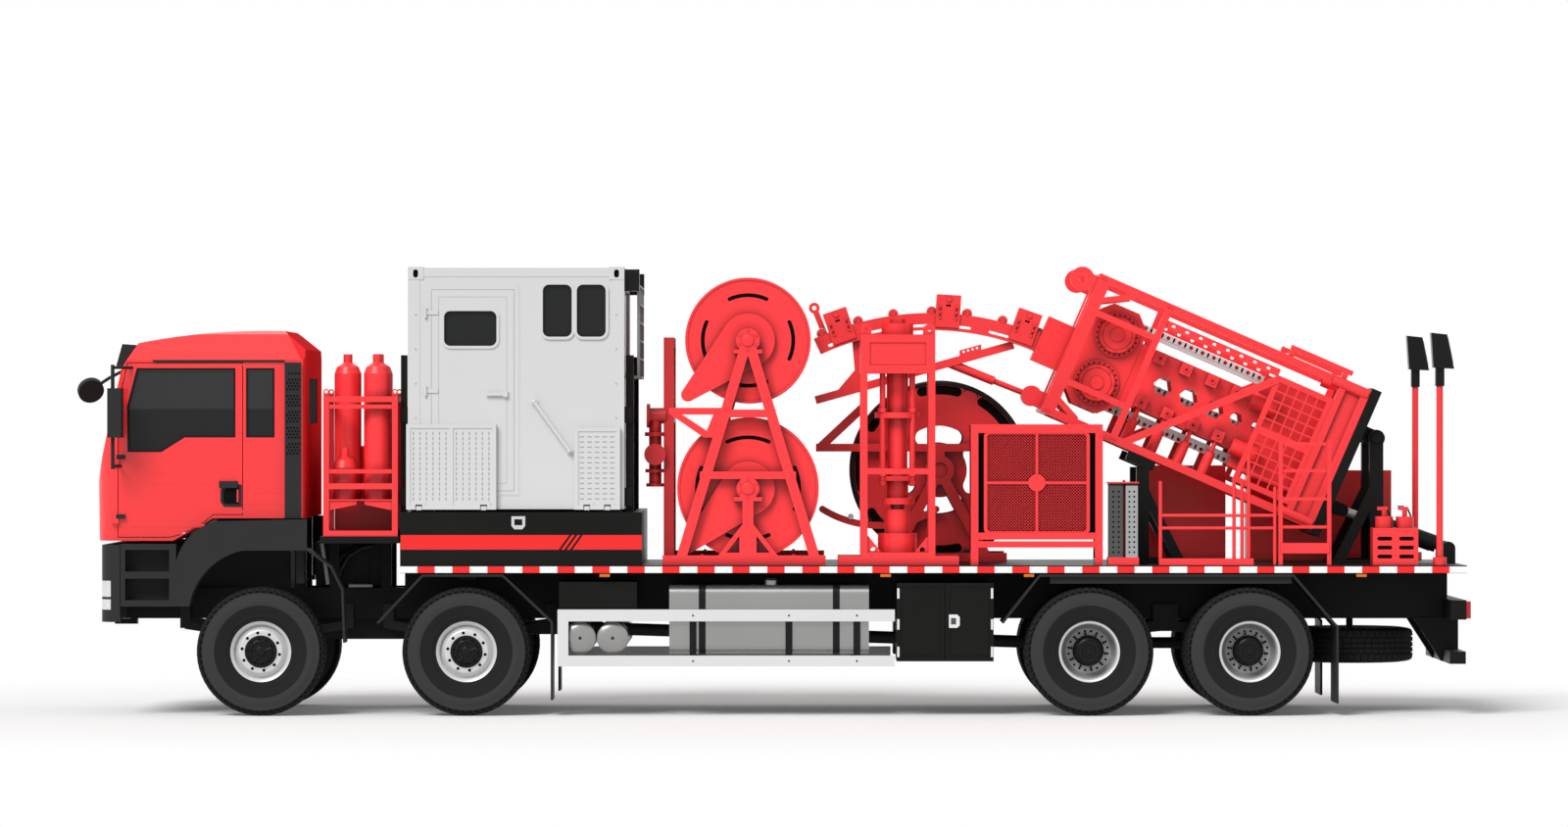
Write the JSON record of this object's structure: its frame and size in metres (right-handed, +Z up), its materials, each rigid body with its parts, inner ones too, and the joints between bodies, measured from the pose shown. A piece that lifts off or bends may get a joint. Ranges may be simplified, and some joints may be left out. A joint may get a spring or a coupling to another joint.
{
  "type": "coiled tubing unit truck",
  "caption": "Eight-wheel truck carrying a coiled tubing unit: lifting control cabin, hose reels, gooseneck and a tilting injector head on a steel deck.",
  "frame": {"origin": "bottom centre of the bounding box, on the ground between the wheels", "axes": "-X is the way the truck drives, +X its tail, +Y its right side, +Z up"},
  "size_m": [12.3699, 2.98, 3.9344],
  "materials": {
    "chassis_black": "satin",
    "equipment_red": "semi gloss",
    "cab_red": "gloss",
    "cabin_white": "semi gloss",
    "glass": "clear dark",
    "dark_plastic": "matte",
    "aluminium": "satin",
    "tyre": "matte",
    "cast": "rough",
    "lamp": "clear",
    "chain_steel": "bright"
  },
  "bodies": {
    "chassis": {"frame": "chassis_black", "deck": "chassis_black", "axles": "cast", "powertrain": "cast", "tanks": "aluminium", "toolboxes": "chassis_black", "side_guards": "aluminium", "bumper": "chassis_black", "lamps": "lamp", "mudguards": "dark_plastic", "spare_wheel": "tyre", "cab_shell": "cab_red", "cab_glass": "glass", "cab_interior": "dark_plastic", "cab_trim": "dark_plastic", "gas_bottles": "equipment_red", "equipment_frames": "equipment_red", "equipment_cases": "equipment_red", "cabin_base": "chassis_black", "reel_stand": "equipment_red", "pressure_stack": "equipment_red", "cooler": "equipment_red", "stair_pack": "dark_plastic", "handrails": "equipment_red", "extinguishers": "equipment_red", "light_masts": "equipment_red", "injector_supports": "chassis_black"},
    "steer_1_left": {"knuckle_1_left": "cast"},
    "steer_1_right": {"knuckle_1_right": "cast"},
    "steer_2_left": {"knuckle_2_left": "cast"},
    "steer_2_right": {"knuckle_2_right": "cast"},
    "wheel_1_left": {"wheel_1_left": "tyre"},
    "wheel_1_right": {"wheel_1_right": "tyre"},
    "wheel_2_left": {"wheel_2_left": "tyre"},
    "wheel_2_right": {"wheel_2_right": "tyre"},
    "wheel_3_left": {"wheel_3_left": "tyre"},
    "wheel_3_right": {"wheel_3_right": "tyre"},
    "wheel_4_left": {"wheel_4_left": "tyre"},
    "wheel_4_right": {"wheel_4_right": "tyre"},
    "cab_door_left": {"cab_door_left": "cab_red", "cab_door_glass_left": "glass"},
    "cab_door_right": {"cab_door_right": "cab_red", "cab_door_glass_right": "glass"},
    "cabin": {"cabin_shell": "cabin_white", "cabin_door": "cabin_white", "cabin_glass": "glass", "cabin_fittings": "dark_plastic"},
    "walkway_front": {"walkway_front": "cabin_white"},
    "walkway_rear": {"walkway_rear": "cabin_white"},
    "upper_reel": {"upper_reel": "equipment_red"},
    "lower_reel": {"lower_reel": "equipment_red"},
    "large_reel": {"large_reel": "equipment_red"},
    "injector": {"tilt_cradle": "chassis_black", "injector_frame": "equipment_red", "injector_drive": "equipment_red", "injector_chains": "chain_steel", "gooseneck": "equipment_red"},
    "tilt_barrels": {"tilt_barrels": "chassis_black"},
    "tilt_rods": {"tilt_rods": "chain_steel"}
  },
  "joints": [
    {"name": "steer_1_left", "type": "hinge", "parent": "chassis", "child": "steer_1_left", "pos_m": [-4.378, -0.9, 0.561], "axis": [0, 0, 1], "range_deg": [-38, 38]},
    {"name": "steer_1_right", "type": "hinge", "parent": "chassis", "child": "steer_1_right", "pos_m": [-4.378, 0.9, 0.561], "axis": [0, 0, 1], "range_deg": [-38, 38]},
    {"name": "steer_2_left", "type": "hinge", "parent": "chassis", "child": "steer_2_left", "pos_m": [-2.583, -0.9, 0.561], "axis": [0, 0, 1], "range_deg": [-27.5, 27.5]},
    {"name": "steer_2_right", "type": "hinge", "parent": "chassis", "child": "steer_2_right", "pos_m": [-2.583, 0.9, 0.561], "axis": [0, 0, 1], "range_deg": [-27.5, 27.5]},
    {"name": "wheel_1_left_spin", "type": "hinge", "parent": "steer_1_left", "child": "wheel_1_left", "pos_m": [-4.378, -1.08, 0.561], "axis": [0, 1, 0], "continuous": true},
    {"name": "wheel_1_right_spin", "type": "hinge", "parent": "steer_1_right", "child": "wheel_1_right", "pos_m": [-4.378, 1.08, 0.561], "axis": [0, 1, 0], "continuous": true},
    {"name": "wheel_2_left_spin", "type": "hinge", "parent": "steer_2_left", "child": "wheel_2_left", "pos_m": [-2.583, -1.08, 0.561], "axis": [0, 1, 0], "continuous": true},
    {"name": "wheel_2_right_spin", "type": "hinge", "parent": "steer_2_right", "child": "wheel_2_right", "pos_m": [-2.583, 1.08, 0.561], "axis": [0, 1, 0], "continuous": true},
    {"name": "wheel_3_left_spin", "type": "hinge", "parent": "chassis", "child": "wheel_3_left", "pos_m": [2.854, -1.085, 0.561], "axis": [0, 1, 0], "continuous": true},
    {"name": "wheel_3_right_spin", "type": "hinge", "parent": "chassis", "child": "wheel_3_right", "pos_m": [2.854, 1.085, 0.561], "axis": [0, 1, 0], "continuous": true},
    {"name": "wheel_4_left_spin", "type": "hinge", "parent": "chassis", "child": "wheel_4_left", "pos_m": [4.254, -1.085, 0.561], "axis": [0, 1, 0], "continuous": true},
    {"name": "wheel_4_right_spin", "type": "hinge", "parent": "chassis", "child": "wheel_4_right", "pos_m": [4.254, 1.085, 0.561], "axis": [0, 1, 0], "continuous": true},
    {"name": "cab_door_left_swing", "type": "hinge", "parent": "chassis", "child": "cab_door_left", "pos_m": [-5.632, -1.142, 2], "axis": [0, 0, -1], "range_deg": [0, 65]},
    {"name": "cab_door_right_swing", "type": "hinge", "parent": "chassis", "child": "cab_door_right", "pos_m": [-5.632, 1.142, 2], "axis": [0, 0, 1], "range_deg": [0, 65]},
    {"name": "cabin_lift", "type": "slide", "parent": "chassis", "child": "cabin", "axis": [0, 0, 1], "range_m": [0, 1]},
    {"name": "walkway_front_fold", "type": "hinge", "parent": "cabin", "child": "walkway_front", "pos_m": [-2.7135, -1.225, 1.814], "axis": [1, 0, 0], "range_deg": [0, 90]},
    {"name": "walkway_rear_fold", "type": "hinge", "parent": "cabin", "child": "walkway_rear", "pos_m": [-1.441, -1.225, 1.814], "axis": [1, 0, 0], "range_deg": [0, 90]},
    {"name": "upper_reel_spin", "type": "hinge", "parent": "chassis", "child": "upper_reel", "pos_m": [-0.126, 0, 3.279], "axis": [0, 1, 0], "continuous": true},
    {"name": "lower_reel_spin", "type": "hinge", "parent": "chassis", "child": "lower_reel", "pos_m": [-0.126, 0, 1.985], "axis": [0, 1, 0], "continuous": true},
    {"name": "large_reel_spin", "type": "hinge", "parent": "chassis", "child": "large_reel", "pos_m": [1.579, 0, 2.135], "axis": [0, 1, 0], "continuous": true},
    {"name": "injector_tilt", "type": "hinge", "parent": "chassis", "child": "injector", "pos_m": [5.421, 0, 2.422], "axis": [0, 1, 0], "range_deg": [0, 66.5]},
    {"name": "tilt_barrel_swing", "type": "hinge", "parent": "chassis", "child": "tilt_barrels", "pos_m": [6.075, 0, 1.445], "axis": [0, 1, 0], "range_deg": [0, 16.36]},
    {"name": "tilt_rod_slide", "type": "slide", "parent": "tilt_barrels", "child": "tilt_rods", "axis": [-0.9406, 0, 0.3395], "range_m": [0, 0.6754]}
  ],
  "couplings": [
    {"joint": "steer_1_right", "follows": "steer_1_left", "ratio": 1},
    {"joint": "steer_2_left", "follows": "steer_1_left", "ratio": 0.72},
    {"joint": "steer_2_right", "follows": "steer_1_left", "ratio": 0.72},
    {"joint": "tilt_barrel_swing", "follows": "injector_tilt", "ratio": 0.24457},
    {"joint": "tilt_rod_slide", "follows": "injector_tilt", "m_per_rad": 0.58017}
  ]
}
